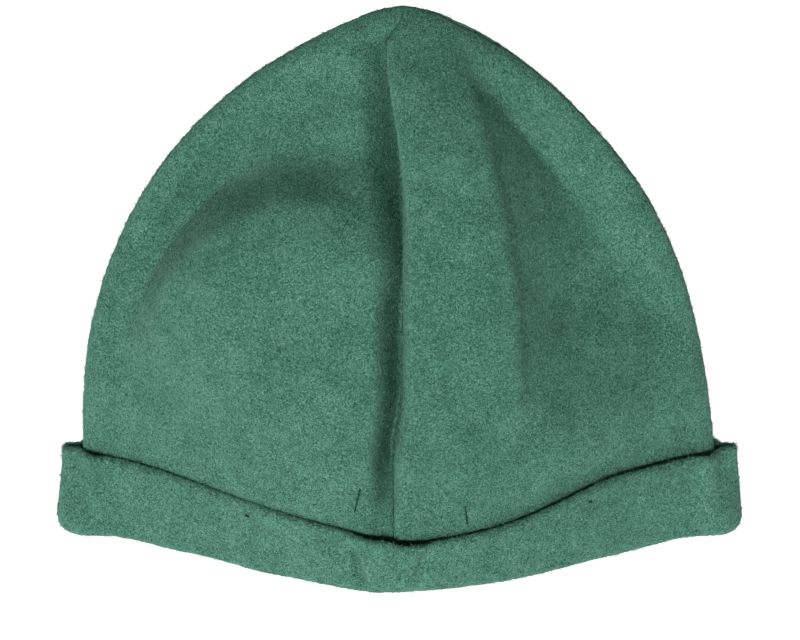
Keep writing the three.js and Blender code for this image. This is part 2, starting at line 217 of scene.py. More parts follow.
def step_along(line, columns):
    """Points along a level line that keep the same distances from both of its seams.
    Near the peak, where the line is short, the fixed steps beside a seam take a third of it."""
    lengths = distances(line)
    near = np.array(SEAM_STEPS) * min(1, lengths[-1] / (3 * SEAM_STEPS[-1]))
    t = np.linspace(0, 1, columns - 2 * len(near) + 2)[1:-1]
    middle = near[-1] + (lengths[-1] - 2 * near[-1]) * t * blend(FIRST_STEP_SHARE, 1, t)
    at = np.concatenate([near, middle, (lengths[-1] - near)[::-1]])
    return np.stack([np.interp(at, lengths, line[:, k]) for k in (0, 1)], axis=1)


# ---- A gore as rows of points along the middle of its cloth -----------------------------------


def stand_off(x):
    front = (STAND_OFF_FRONT - STAND_OFF_FLANK) * bell(x, STAND_OFF_FRONT_REACH)
    side = (STAND_OFF_SIDE - STAND_OFF_FLANK) * bell(half_width(0) - x, STAND_OFF_SIDE_REACH)
    return STAND_OFF_FLANK + front + side


def cuff_height(left, back, x):
    depth, start, end = CUFF_DIPS["back" if back else "front_left" if left else "front_right"]
    from_notch = (-x if left else x) - CUFF_NOTCH_X
    notch = CUFF_NOTCH * bell(from_notch, CUFF_NOTCH_REACH)
    return CUFF_HEIGHT - depth * (1 - ramp(x, start, end)) - notch


def into_quarter(points, left, back):
    """Mirrors points between the quarter that gores are worked out in and a gore's own quarter."""
    return points * np.array([-1 if left else 1, 1 if back else -1, 1])


def numbers(rows):
    """The number of each row, in a form that fits all of its points."""
    return np.arange(len(rows))[:, None]


def outward_normals(line):
    along = np.gradient(line, axis=0)
    normals = np.stack([-along[:, 1], along[:, 0]], axis=1)
    normals /= np.linalg.norm(normals, axis=1, keepdims=True)
    normals[0], normals[-1] = (0, 1), (1, 0)
    return normals


def crown_rows(left, back, fold_height, columns):
    """Rows from the fold up to the peak, closer together towards the peak."""
    rows = []
    for rise in np.sin(np.linspace(0, math.pi / 2, CROWN_ROWS + 1)[:-1]):
        level = step_along(level_line(left, back, rise * CROWN_TOP), columns)
        rows.append(np.column_stack([level, blend(fold_height, CROWN_TOP, rise)]))
    rows.append(np.tile([0.0, 0.0, CROWN_TOP], (columns, 1)))
    return np.array(rows)


def crown_at(crown, heights):
    """Where each column of the crown is, in x and y, at its own height."""
    columns = zip(heights, crown.transpose(1, 0, 2))
    return np.array([[np.interp(z, line[:, 2], line[:, k]) for k in (0, 1)] for z, line in columns])


def cuff_row(left, back, base, crown, fold_height, up):
    """A row of the turned-up part. Up is 0 at the fold and 1 at the free edge."""
    x = base[:, 0]
    z = blend(fold_height, cuff_height(left, back, x), up)
    gap = stand_off(x) * (1 - CLOSING_IN * up)
    closed = EDGE_GAP + EDGE_GAP_FRONT * bell(x, EDGE_GAP_FRONT_REACH)
    closed = closed + (gap - EDGE_GAP) * bell(half_width(0) - x, EDGE_GAP_SIDE_REACH)
    gap = blend(gap, np.minimum(gap, closed), smooth(up))
    flat = crown_at(crown, z) + outward_normals(base) * gap[:, None]
    pinch = SIDE_PINCH * smooth(up) * ramp(flat[:, 0], *SIDE_PINCH_SPAN)
    flat[:, 1] = blend(flat[:, 1], np.minimum(flat[:, 1], MID), pinch)
    return np.column_stack([flat, z])


def fold_row(base, fold_height, angle):
    """A row of the rounded fold. Angle is 0 on its outside and pi under the crown."""
    x = base[:, 0]
    radius = stand_off(x) / 2
    squareness = blend(1, FOLD_SQUARENESS, bell(half_width(0) - x, STAND_OFF_SIDE_REACH))
    outward = np.sign(math.cos(angle)) * abs(math.cos(angle)) ** squareness
    across = base + outward_normals(base) * (radius * (1 + outward))[:, None]
    return np.column_stack([across, fold_height - radius * math.sin(angle) ** squareness])


def gore_rows(left, back):
    """Rows from the cuff's free edge down to the fold and up the crown to its peak."""
    base_line = level_line(left, back, 0.0)
    columns = 2 * len(SEAM_STEPS) + int(distances(base_line)[-1] / COLUMN_STEP)
    base = step_along(base_line, columns)
    fold_height = (stand_off(base[:, 0]) / 2 + MID) * math.cos(REST_LAND_HALF_ANGLE)
    crown = crown_rows(left, back, fold_height, columns)
    below_edge = EDGE_ROWS + list(np.linspace(AFTER_EDGE, 1, CUFF_ROWS, endpoint=False))
    cuff = [cuff_row(left, back, base, crown, fold_height, up) for up in 1 - np.array(below_edge)]
    angles = np.linspace(0, math.pi, FOLD_ROWS, endpoint=False)
    fold = [fold_row(base, fold_height, angle) for angle in angles]
    return np.concatenate([np.array(cuff + fold), crown])


def wrong_side_normals(rows):
    """Directions from the right side of the cloth to its wrong side, which is the crown's inside.
    They are evened out across the cloth, so that its two sides don't fold over in tight bends."""
    normals = -np.cross(np.gradient(rows, axis=0), np.gradient(rows, axis=1))
    for _ in range(NORMAL_ROUNDS):
        normals /= np.maximum(np.linalg.norm(normals, axis=2, keepdims=True), TINY)
        normals[:, 1:-1] = (normals[:, :-2] + 2 * normals[:, 1:-1] + normals[:, 2:]) / 4
    normals[:, 0, 0] = 0
    normals[:, -1, 1] = 0
    normals[-1] = (0, 0, -1)
    return normals / np.maximum(np.linalg.norm(normals, axis=2, keepdims=True), TINY)


# ---- Soft shapes that handling has left in the cloth -------------------------------------------


# Unevenness as (strength, size of its bumps, seed): the crown's, the turned-up part's, and the fine
# one of every surface. The turned-up part is also pressed in a little all over.
CROWN_WAVES = [(0.9, 30, 3), (0.3, 11, 4)]
CUFF_WAVES = [(0.3, 22, 5)]
FINE_WAVES = [(0.09, 4.2, 11), (0.06, 2.4, 12)]
CUFF_PRESSED = 0.3
# Where the crown is free to be uneven: off the fold, off the peak, and off the centre and side seams.
FREE_FOLD_SPAN, FREE_PEAK_SPAN = (20, 50), (205, 180)
FREE_CENTRE_SPAN, FREE_SIDE_SPAN, DENT_SIDE_SPAN = (0, 14), (0, 8), (0, 16)

# The hollow in the upper left lies round a centre, past the rolled edge of a swelling, and the
# swelling's own flank sinks a little. It fades out at a turn round the centre, at the peak and at
# the front seam.
LEFT_CENTRE, LEFT_RADIUS = (-25, 84), 60
LEFT_DEPTH, LEFT_SHALLOWER, LEFT_SHALLOWER_SPAN = 19, 3, (50, 90)
LEFT_FALL, LEFT_REACH, LEFT_CRISPNESS = 22, 52, 0.15
LEFT_TURN_SPAN, LEFT_TOP_SPAN, LEFT_SEAM_REACH = (-30, 40), (203, 183), 24
LEFT_ROLL, LEFT_ROLL_BEFORE, LEFT_ROLL_REACH = 3, 13, 12
FLANK_SINK, FLANK_PLACE, FLANK_REACH = 2, (-86, 66), 24

# The hollow on the right lies past a bowed, rolled edge.
RIGHT_EDGE, RIGHT_BOW, RIGHT_BOW_HEIGHT = 43, 0.00165, 75
RIGHT_DEPTH, RIGHT_FALL, RIGHT_REACH, RIGHT_CRISPNESS = 21, 38, 38, 0.9
RIGHT_BOTTOM_SPAN, RIGHT_TOP_SPAN = (50, 110), (203, 181)
RIGHT_ROLL, RIGHT_ROLL_BEFORE, RIGHT_ROLL_REACH = 1.5, 8, 11
CRISP_SPAN = (0, 8)

# The wedge on the turned-up edge: its middle, its half width at the floor, and how it widens upwards.
WEDGE_X, WEDGE_HALF_WIDTH, WEDGE_WIDENING = -2.7, 7.5, 0.35
WEDGE_PLUMPNESS, WEDGE_SIDE_SPAN, WEDGE_BOTTOM_SPAN = 1.3, (1, -3), (1, 6)
WEDGE_CREASE, WEDGE_CREASE_REACH, WEDGE_CREASE_TOP_SPAN = 1.9, 2.2, (22, 16)
TACK_DENT, TACK_DENT_REACH = 1.2, 4.5

# How the crown leans to the side, and how the front seam wanders from the middle.
LEAN, LEAN_BOTTOM_SPAN, LEAN_TOP_SPAN = -2.3, (10, 85), (200, 160)
PEAK_LEAN, PEAK_LEAN_SPAN = 1.2, (185, 205)
RIM_SHIFT, RIM_SHIFT_SPAN = 2.3, (0, 25)
SEAM_X, SEAM_SWAY, SEAM_SWAY_BOTTOM_SPAN, SEAM_SWAY_TOP_SPAN = -2.2, 3.2, (50, 80), (190, 145)
SEAM_PEAK_SWAY, SEAM_PEAK_HEIGHT, SEAM_PEAK_REACH = -2.5, 197, 18
SEAM_SWAY_REACH, SEAM_SWAY_END_SPAN = 22, (208, 198)


def waves(points, layers):
    """A smooth random field for each layer, mostly between -1 and 1 times its strength, added up."""
    return sum(strength * wave_field(points, size, seed) for strength, size, seed in layers)


def wave_field(points, size, seed):
    """Sine waves in random directions, whose bumps are about size across."""
    random = np.random.default_rng(seed)
    count = 16
    total = np.zeros(points.shape[:-1])
    for _ in range(count):
        direction = random.normal(size=3)
        direction *= math.pi / (size * np.linalg.norm(direction)) * random.uniform(0.6, 1.4)
        total += np.sin(points @ direction + random.uniform(0, 2 * math.pi))
    return total * math.sqrt(2 / count) / 1.5


def dent(past_edge, depth, fall, reach, crispness):
    """A hollow that falls from a fold edge, levels out, and comes up again slowly.
    Past a crisp edge it falls most steeply at once, and past a soft one halfway down."""
    t = np.clip(past_edge / fall, 0, 1)
    crisp = (1 - (1 - t) ** 2) * ramp(past_edge, *CRISP_SPAN)
    return -depth * blend(smooth(t), crisp, crispness) * bell(np.maximum(past_edge - fall, 0), reach)


def left_dent(x, z):
    off_x, off_z = x - LEFT_CENTRE[0], z - LEFT_CENTRE[1]
    turn = np.degrees(np.arctan2(off_z, -off_x))
    past_edge = np.hypot(off_x, off_z) - LEFT_RADIUS
    depth = LEFT_DEPTH - LEFT_SHALLOWER * ramp(turn, *LEFT_SHALLOWER_SPAN)
    hollow = dent(past_edge, depth, LEFT_FALL, LEFT_REACH, LEFT_CRISPNESS)
    hollow = hollow * ramp(z, *LEFT_TOP_SPAN) * (1 - bell(x, LEFT_SEAM_REACH))
    roll = LEFT_ROLL * bell(past_edge + LEFT_ROLL_BEFORE, LEFT_ROLL_REACH)
    from_flank = np.hypot(x - FLANK_PLACE[0], z - FLANK_PLACE[1])
    return ramp(turn, *LEFT_TURN_SPAN) * (hollow + roll) - FLANK_SINK * bell(from_flank, FLANK_REACH)


def right_dent(x, z):
    past_edge = x - RIGHT_EDGE + RIGHT_BOW * (z - RIGHT_BOW_HEIGHT) ** 2
    hollow = dent(past_edge, RIGHT_DEPTH, RIGHT_FALL, RIGHT_REACH, RIGHT_CRISPNESS)
    roll = RIGHT_ROLL * bell(past_edge + RIGHT_ROLL_BEFORE, RIGHT_ROLL_REACH)
    return ramp(z, *RIGHT_BOTTOM_SPAN) * ramp(z, *RIGHT_TOP_SPAN) * (hollow + roll)


def seam_wedge(x, z):
    """On the turned-up edge, a plump wedge over the front seam between two soft slanting creases."""
    off = np.abs(x - WEDGE_X) - (WEDGE_HALF_WIDTH + WEDGE_WIDENING * z)
    plump = WEDGE_PLUMPNESS * ramp(off, *WEDGE_SIDE_SPAN)
    crease = WEDGE_CREASE * ramp(z, *WEDGE_CREASE_TOP_SPAN) * bell(off, WEDGE_CREASE_REACH)
    return ramp(z, *WEDGE_BOTTOM_SPAN) * (plump - crease)


def tack_dents(rows):
    """How far the tacks pull the turned-up part towards the crown."""
    dents = np.zeros(rows.shape[:-1])
    for name in TACKS:
        low, high = node_box(name)
        dents += bell(np.linalg.norm(rows - (low + high) / 2, axis=-1), TACK_DENT_REACH)
    return TACK_DENT * np.where(numbers(rows) < FOLD_START, dents, 0)


def handling(rows, left, back):
    """How far the cloth stands out from its plain shape, along the way its right side faces."""
    x, z = rows[..., 0], rows[..., 2]
    from_centre, from_side = np.abs(x), np.abs(rows[..., 1])
    crown = np.where(numbers(rows) >= CROWN_START, ramp(z, *FREE_FOLD_SPAN), 0)
    cuff = numbers(rows) < FOLD_START + FOLD_ROWS // 2
    free = ramp(from_centre, *FREE_CENTRE_SPAN) * ramp(from_side, *FREE_SIDE_SPAN)
    total = crown * free * ramp(z, *FREE_PEAK_SPAN) * waves(rows, CROWN_WAVES)
    total -= np.where(cuff, CUFF_PRESSED + waves(rows, CUFF_WAVES), 0)
    if not back:
        hollow = left_dent(x, z) if left else right_dent(x, z)
        total += crown * ramp(from_side, *DENT_SIDE_SPAN) * hollow
        total -= np.where(cuff, seam_wedge(x, z), 0)
    return total


def sideways(rows, back):
    """How far the crown leans to the left, and how the front seam wanders as it goes up."""
    x, z = rows[..., 0], rows[..., 2]
    crown = numbers(rows) >= CROWN_START
    lean = LEAN * ramp(z, *LEAN_BOTTOM_SPAN) * ramp(z, *LEAN_TOP_SPAN)
    lean = lean + PEAK_LEAN * ramp(z, *PEAK_LEAN_SPAN)
    if back:
        return np.where(crown, lean, 0)
    lean = np.where(crown, lean, RIM_SHIFT * ramp(np.abs(rows[..., 1]), *RIM_SHIFT_SPAN))
    seam = SEAM_X + SEAM_SWAY * ramp(z, *SEAM_SWAY_BOTTOM_SPAN) * ramp(z, *SEAM_SWAY_TOP_SPAN)
    seam = seam + SEAM_PEAK_SWAY * bell(z - SEAM_PEAK_HEIGHT, SEAM_PEAK_REACH)
    return blend(lean, seam, bell(x, SEAM_SWAY_REACH) * ramp(z, *SEAM_SWAY_END_SPAN))


# ---- Meshes -----------------------------------------------------------------------------------

# Points closer than the first are joined, and points lower than the second rest on the floor.
JOINED_WITHIN, RESTS_WITHIN = 0.002, 0.2


def link(name, data):
    made = bpy.data.objects.new(name, data)
    bpy.context.scene.collection.objects.link(made)
    return made


def close_sheet(front, back):
    """A closed mesh over two matching grids of points, joined round their edges."""
    count = front.shape[0] * front.shape[1]
    near = np.arange(count).reshape(front.shape[:2])
    far = near + count

    def quads(a, b, c, d):
        return np.stack([a.ravel(), b.ravel(), c.ravel(), d.ravel()], axis=1)

    faces = [
        quads(near[:-1, :-1], near[:-1, 1:], near[1:, 1:], near[1:, :-1]),
        quads(far[:-1, :-1], far[1:, :-1], far[1:, 1:], far[:-1, 1:]),
        quads(near[:-1, 0], near[1:, 0], far[1:, 0], far[:-1, 0]),
        quads(near[:-1, -1], far[:-1, -1], far[1:, -1], near[1:, -1]),
        quads(near[0, :-1], far[0, :-1], far[0, 1:], near[0, 1:]),
        quads(near[-1, :-1], near[-1, 1:], far[-1, 1:], far[-1, :-1]),
    ]
    return np.concatenate([front.reshape(-1, 3), back.reshape(-1, 3)]), np.concatenate(faces).tolist()


def make_piece(name, points, faces, material, slot, replaced=()):
    """A named piece from points in millimetres, with points that fall together joined."""
    mesh = bpy.data.meshes.new(name)
    mesh.from_pydata((points * MM).tolist(), [], faces)
    shape = bmesh.new()
    shape.from_mesh(mesh)
    bmesh.ops.remove_doubles(shape, verts=shape.verts, dist=JOINED_WITHIN * MM)
    bmesh.ops.recalc_face_normals(shape, faces=shape.faces)
    shape.to_mesh(mesh)
    shape.free()
    mesh.shade_smooth()
    mesh.materials.append(material)
    piece = link(name, mesh)
    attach(piece, "root")
    if replaced:
        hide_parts(*replaced)
    return piece


def seam_distances(columns):
    """How far each column is from the nearer of its gore's two seams, up to the last fixed step."""
    seam = np.full(columns, SEAM_STEPS[-1])
    seam[: len(SEAM_STEPS)] = SEAM_STEPS
    seam[-len(SEAM_STEPS):] = SEAM_STEPS[::-1]
    return seam


def allowance(rows, seam):
    """Where a seam allowance lies flat inside the crown, as a share of its thickness."""
    z = rows[..., 2]
    crown = numbers(rows) >= CROWN_START
    flap = ramp(seam, *ALLOWANCE_INNER_SPAN) * ramp(seam, *ALLOWANCE_OUTER_SPAN)
    return flap * crown * ramp(z, *ALLOWANCE_BOTTOM_SPAN) * ramp(z, *ALLOWANCE_TOP_SPAN)


def edge_thickness(count):
    """The share of the cloth's thickness that each row has, which rounds its free edge."""
    thickness = np.ones((count, 1))
    in_edge = np.minimum(np.array(EDGE_ROWS) / EDGE_ROUND, 1)
    thickness[: len(EDGE_ROWS), 0] = np.sqrt(np.clip(1 - (1 - in_edge) ** 2, THINNEST_EDGE, 1))
    return thickness


def in_place(side, shift, left, back):
    """One side of the cloth kept within its gore's quarter, shifted sideways and laid on the floor."""
    quarter = into_quarter(side, left, back)
    quarter[..., :2] = np.maximum(quarter[..., :2], 0)
    side = into_quarter(quarter, left, back)
    side[..., 0] += shift
    side[..., 2] = np.where(side[..., 2] < RESTS_WITHIN, 0, side[..., 2])
    return side


def cloth_sides(left, back):
    """The two surfaces of one gore's cloth in place, its wrong side first."""
    rows = gore_rows(left, back)
    normals = into_quarter(wrong_side_normals(rows), left, back)
    rows = into_quarter(rows, left, back)
    moved = rows - normals * handling(rows, left, back)[..., None]
    seam = seam_distances(rows.shape[1])
    rolled = np.clip(1 - seam / SEAM_ROUND, 0, 1)
    thickness = edge_thickness(len(rows))
    fine = waves(rows, FINE_WAVES)
    doubled = ALLOWANCE_THICKNESS * allowance(rows, seam)
    wrong_offset = MID * thickness + doubled + fine - tack_dents(rows)
    right_offset = (MID - SEAM_SINK * (1 - np.sqrt(1 - rolled**2))) * thickness + fine
    wrong = moved + normals * wrong_offset[..., None]
    right = moved - normals * right_offset[..., None]
    shift = sideways(rows, back)
    return [in_place(side, shift, left, back) for side in (wrong, right)]


# ---- The nap ----------------------------------------------------------------------------------

NAP_COUNT, NAP_RADIUS = 18000, 0.07
NAP_LENGTHS, NAP_BEND = (1.0, 2.6), 0.5
NAP_LIFT, NAP_HIGHEST, NAP_LIFT_HALFWAY = 0.4, 1.5, 0.6
NAP_ROOT_DEPTH, NAP_CLEARANCE = 0.15, 0.05
# The shares of the fibres on the free edge, on the turned-up part and on the crown.
NAP_SHARES = (0.06, 0.19, 0.75)
# A fibre has three points round its root, three round its middle, and its tip.
NAP_POINTS = 7
NAP_FACES = [
    (0, 1, 4), (0, 4, 3), (1, 2, 5), (1, 5, 4), (2, 0, 3), (2, 3, 5),
    (3, 4, 6), (4, 5, 6), (5, 3, 6), (0, 2, 1),
]


def scatter(side, other, count, random):
    """Random places spread evenly over one side of the cloth, and the way it faces there."""
    a, b, c, d = side[:-1, :-1], side[:-1, 1:], side[1:, 1:], side[1:, :-1]
    normals = np.cross(c - a, d - b).reshape(-1, 3)
    outward = (side - other)[:-1, :-1].reshape(-1, 3)
    normals *= np.sign((normals * outward).sum(axis=1, keepdims=True))
    areas = np.linalg.norm(normals, axis=1)
    chosen = random.choice(len(areas), count, p=areas / areas.sum())
    u, v = random.random((2, count, 1))
    a, b, c, d = (corner.reshape(-1, 3)[chosen] for corner in (a, b, c, d))
    return blend(blend(a, b, u), blend(d, c, u), v), normals[chosen] / areas[chosen, None]


def nap(wrong, right, seed):
    """Short fibres all over the cloth that shows, each a thin closed strand that tapers to its tip."""
    random = np.random.default_rng(seed)
    edge = len(EDGE_ROWS)
    patches = [
        (wrong[:edge], right[:edge]),
        (wrong[:CROWN_START], right[:CROWN_START]),
        (right[CROWN_START:], wrong[CROWN_START:]),
    ]
    counts = [round(NAP_COUNT * share) for share in NAP_SHARES]
    spread = [scatter(*patch, count, random) for patch, count in zip(patches, counts)]
    place, out = (np.concatenate(parts) for parts in zip(*spread))
    along = unit(np.cross(out, random.normal(size=place.shape)))
    across = np.cross(out, along)
    length = random.uniform(*NAP_LENGTHS, (NAP_COUNT, 1))
    lift = np.minimum(random.exponential(NAP_LIFT, (NAP_COUNT, 1)), NAP_HIGHEST)
    bend = random.uniform(-NAP_BEND, NAP_BEND, (NAP_COUNT, 1)) * length
    halfway = place + length / 2 * along + (NAP_CLEARANCE + NAP_LIFT_HALFWAY * lift) * out
    points = np.empty((NAP_COUNT, NAP_POINTS, 3))
    for k in range(3):
        angle = 2 * math.pi * k / 3
        ring = NAP_RADIUS * (math.cos(angle) * out + math.sin(angle) * across)
        points[:, k] = place - NAP_ROOT_DEPTH * out + ring
        points[:, 3 + k] = halfway + ring
    points[:, 6] = place + length * along + bend * across + (NAP_CLEARANCE + lift) * out
    points[..., 2] = np.maximum(points[..., 2], NAP_RADIUS)
    faces = np.array(NAP_FACES) + NAP_POINTS * np.arange(NAP_COUNT)[:, None, None]
    return points.reshape(-1, 3), faces.reshape(-1, 3).tolist()


# ---- Sewing threads and labels ------------------------------------------------------------------

# A thread's end is rounded to a share of its radius. A stitch stands proud of the cloth, has lower
# shoulders, and its ends are sunk into the cloth.
THREAD_RADIUS, THREAD_END_SHARE = 0.3, 0.45
STITCH_LENGTH, STITCH_PITCH = 2.5, 3.0
STITCH_PROUD, STITCH_SHOULDER, STITCH_SUNK = 0.25, 0.1, 0.7
LABEL_STITCH_LENGTH, LABEL_STITCH_PITCH = 1.7, 2.1
# A seam's stitches start above the fold and stop below the peak, a little inwards of the seam.
SEAM_ROWS, SEAM_INWARDS = slice(CROWN_START + 2, -6), 0.2
FAR_AWAY = 200
# A tack is a slanting loop with nearly square corners, of which a little stands proud.
TACK_THREAD_RADIUS, TACK_PROUD, TACK_STEPS = 0.45, 0.25, 28
TACK_HALF_WIDTH, TACK_SLANT, TACK_SQUARENESS = 0.6, 0.35, 0.3
# The rows that hold the label, from top to bottom, as (x, z).
LABEL_ROWS = {
    "label_stitches_left": ((-14.6, 43.0), (-17.0, 31.2)),
    "label_stitches_right": ((23.9, 34.6), (25.0, 25.3)),
}
LABEL_CENTRE, LABEL_MIDDLE, LABEL_SLOPE = 4.5, 33.4, -0.18
LABEL_WIDTH, LABEL_HEIGHT, LABEL_THICKNESS = 42.0, 12.0, 0.5
LABEL_ACROSS, LABEL_DOWN, LABEL_PROBES = 43, 13, 12
# The label is evened out over this many columns to each side, and stays clear of the cloth.
LABEL_STIFFNESS, LABEL_RISE, LABEL_CLEARANCE = 4, 0.5, 0.3
CARE_LAYER, CARE_BOW, CARE_FOLD_RISE = 0.22, 1.2, 0.5
CARE_LENGTH_STEPS, CARE_FOLD_STEPS, CARE_WIDTH_STEPS = 24, 9, 19


def tube(points, radius, sides=8, closed=False):
    """A round thread through points, closed into a loop or with rounded ends."""
    points = np.array(points, dtype=float)
    along = np.gradient(points, axis=0)
    radii = np.full(len(points), radius)
    if closed:
        along = np.roll(points, -1, axis=0) - np.roll(points, 1, axis=0)
    else:
        radii[[0, -1]] = THREAD_END_SHARE * radius
    along = unit(along)
    guide = np.eye(3)[np.argmin(np.abs(along).sum(axis=0))]
    first = unit(np.cross(along, guide))
    second = np.cross(along, first)
    angles = np.linspace(0, 2 * math.pi, sides, endpoint=False)[:, None, None]
    rings = points + radii[:, None] * (np.cos(angles) * first + np.sin(angles) * second)
    rings = rings.transpose(1, 0, 2)
    number = np.arange(len(points) * sides).reshape(len(points), sides)
    here, after = (number, np.roll(number, -1, axis=0)) if closed else (number[:-1], number[1:])
    quads = [here, np.roll(here, -1, axis=1), np.roll(after, -1, axis=1), after]
    faces = np.stack([corner.ravel() for corner in quads], axis=1).tolist()
    if not closed:
        faces += [number[0].tolist(), number[-1][::-1].tolist()]
    return rings.reshape(-1, 3), faces


def joined(parts):
    """Several separate closed shapes as one set of points and faces."""
    points, faces, count = [], [], 0
    for part_points, part_faces in parts:
        points.append(part_points)
        faces += [[index + count for index in part_face] for part_face in part_faces]
        count += len(part_points)
    return np.concatenate(points), faces


def stitch(start, end, out):
    """One stitch on the cloth, whose ends dive into it. Out is the way that the cloth faces."""
    places = [start, start, (start + end) / 2, end, end]
    rises = [-STITCH_SUNK, STITCH_SHOULDER, STITCH_PROUD, STITCH_SHOULDER, -STITCH_SUNK]
    return tube([place + rise * out for place, rise in zip(places, rises)], THREAD_RADIUS)


def stitches_along(line, outs, length, pitch):
    """A row of stitches that follows a line of points."""
    lengths = distances(line)

    def at(distance, values):
        return np.array([np.interp(distance, lengths, values[:, k]) for k in range(3)])

    starts = np.arange(0, lengths[-1] - length, pitch)
    return joined([stitch(at(d, line), at(d + length, line), unit(at(d, outs))) for d in starts])


def seam_line(near, far, column):
    """The line where two gores' wrong sides meet, with the way inwards from it."""
    line = (near[SEAM_ROWS, column] + far[SEAM_ROWS, column]) / 2
    inward = unit(-line * [1, 1, 0])
    return line + SEAM_INWARDS * inward, inward


def seam_threads(sides):
    """The stitches of the centre seam, front and back, and of both side seams."""
    wrong = {corner: pair[0] for corner, pair in sides.items()}
    seams = {
        "centre_seam_thread": [("front_left", "front_right", 0), ("back_left", "back_right", 0)],
        "left_seam_thread": [("front_left", "back_left", -1)],
        "right_seam_thread": [("front_right", "back_right", -1)],
    }
    for name, lines in seams.items():
        rows = [seam_line(wrong[near], wrong[far], column) for near, far, column in lines]
        yield name, joined([stitches_along(*row, STITCH_LENGTH, STITCH_PITCH) for row in rows])


def surface_tree(grids):
    """A search tree over grids of points, for finding where a straight line meets the cloth."""
    points, faces = joined([(grid.reshape(-1, 3), grid_quads(grid)) for grid in grids])
    return BVHTree.FromPolygons(points.tolist(), faces)


def grid_quads(grid):
    """The faces between the points of a grid, by the numbers of their corners."""
    number = np.arange(grid.shape[0] * grid.shape[1]).reshape(grid.shape[:2])
    corners = [number[:-1, :-1], number[:-1, 1:], number[1:, 1:], number[1:, :-1]]
    return np.stack([corner.ravel() for corner in corners], axis=1).tolist()


def meet(tree, x, z, start, towards):
    """Where a level line from y = start meets the cloth, and the way back towards its start."""
    place, normal, _, _ = tree.ray_cast(Vector((x, start, z)), Vector((0, towards, 0)))
    place, normal = np.array(place), np.array(normal)
    return place, normal * np.sign(-towards * normal[1])


def label_stitch_row(tree, ends):
    """One row of stitches that holds an end of the woven label, straight down the front of the crown."""
    start, end = np.array(ends)
    places = [blend(start, end, t) for t in np.linspace(0, 1, LABEL_PROBES)]
    hits = [meet(tree, x, z, -FAR_AWAY, 1) for x, z in places]
    line, outs = (np.array(values) for values in zip(*hits))
    return stitches_along(line, outs, LABEL_STITCH_LENGTH, LABEL_STITCH_PITCH)


def tack_loop(name, tree):
    """One hand stitch, in at one side of a little bite of cloth and out at the other."""
    low, high = node_box(name)
    centre = (low + high) / 2
    half = (high[1] - low[1]) / 2
    from_side = 1 if centre[1] > 0 else -1
    surface, out = meet(tree, centre[0], centre[2], from_side * FAR_AWAY, -from_side)
    up = np.array([0, 0, 1])
    across = TACK_HALF_WIDTH * (unit(np.cross(out, up)) + TACK_SLANT * up)
    middle = surface - out * (half - TACK_PROUD)
    angles = np.linspace(0, 2 * math.pi, TACK_STEPS, endpoint=False)
    turns = [np.cos(angles)[:, None], np.sin(angles)[:, None]]
    side, deep = (np.sign(turn) * np.abs(turn) ** TACK_SQUARENESS for turn in turns)
    return tube(middle + side * across + deep * half * out, TACK_THREAD_RADIUS, closed=True)


def woven_label(tree):
    """A narrow woven strip across the inside of the front seam, over its allowances."""
    x = LABEL_CENTRE + np.linspace(-0.5, 0.5, LABEL_ACROSS) * LABEL_WIDTH
    middle = LABEL_MIDDLE + LABEL_SLOPE * (x - LABEL_CENTRE)
    evening = np.ones(2 * LABEL_STIFFNESS + 1) / (2 * LABEL_STIFFNESS + 1)
    rows = []
    for rise in np.linspace(0.5, -0.5, LABEL_DOWN) * LABEL_HEIGHT:
        z = middle + rise
        cloth = np.array([meet(tree, a, b, 0, -1)[0][1] for a, b in zip(x, z)])
        over = np.convolve(np.pad(cloth, LABEL_STIFFNESS, mode="edge"), evening, mode="valid")
        rows.append(np.stack([x, np.maximum(over + LABEL_RISE, cloth + LABEL_CLEARANCE), z], axis=1))
    near = np.array(rows)
    return close_sheet(near, near + [0, LABEL_THICKNESS, 0])


def care_label():
    """A satin strip folded in half, which hangs from the left side seam."""
    low, high = node_box("care_label")
    length = high[2] - low[2] - CARE_FOLD_RISE
    half = (high[1] - low[1]) / 2
    down = np.linspace(0, length, CARE_LENGTH_STEPS)
    turn = np.linspace(0, math.pi, CARE_FOLD_STEPS)[1:-1]
    outer, inner = np.full_like(down, half), np.full_like(down, -half)
    y = np.concatenate([outer, half * np.cos(turn), inner])
    bottom = low[2] + CARE_FOLD_RISE - half * np.sin(turn)
    z = np.concatenate([high[2] - down, bottom, high[2] - down[::-1]])
    x = np.linspace(low[0], high[0], CARE_WIDTH_STEPS)
    hang = (high[2] - z) / length
    bow = CARE_BOW * hang[:, None] ** 2 * np.sin(math.pi * (x - low[0]) / (high[0] - low[0]))
    line = np.stack([y, z], axis=1)
    out = outward_normals(line)
    out[0], out[-1] = (1, 0), (-1, 0)

    def layer(offset):
        moved = line + offset * out
        grid = np.empty((*bow.shape, 3))
        grid[..., 0] = x
        grid[..., 1] = moved[:, :1] + bow
        grid[..., 2] = moved[:, 1:]
        return grid

    return close_sheet(layer(CARE_LAYER / 2), layer(-CARE_LAYER / 2))


# ---- Materials --------------------------------------------------------------------------------

# Colours from dark to light, as (place on the ramp, linear red, green and blue).
WOOL_STOPS = [
    (0.34, (0.003, 0.022, 0.012)),
    (0.5, (0.02, 0.087, 0.055)),
    (0.65, (0.053, 0.173, 0.119)),
    (0.83, (0.172, 0.395, 0.3)),
]
NAP_STOPS = [(0.35, (0.02, 0.08, 0.053)), (0.65, (0.16, 0.35, 0.27))]
THREAD_STOPS = [(0.2, (0.004, 0.022, 0.013)), (0.8, (0.016, 0.07, 0.045))]
RIBBON_DARK, RIBBON_LIGHT = (0.008, 0.03, 0.02), (0.045, 0.11, 0.08)
SATIN_DARK, SATIN_LIGHT = (0.5, 0.49, 0.45), (0.82, 0.81, 0.76)


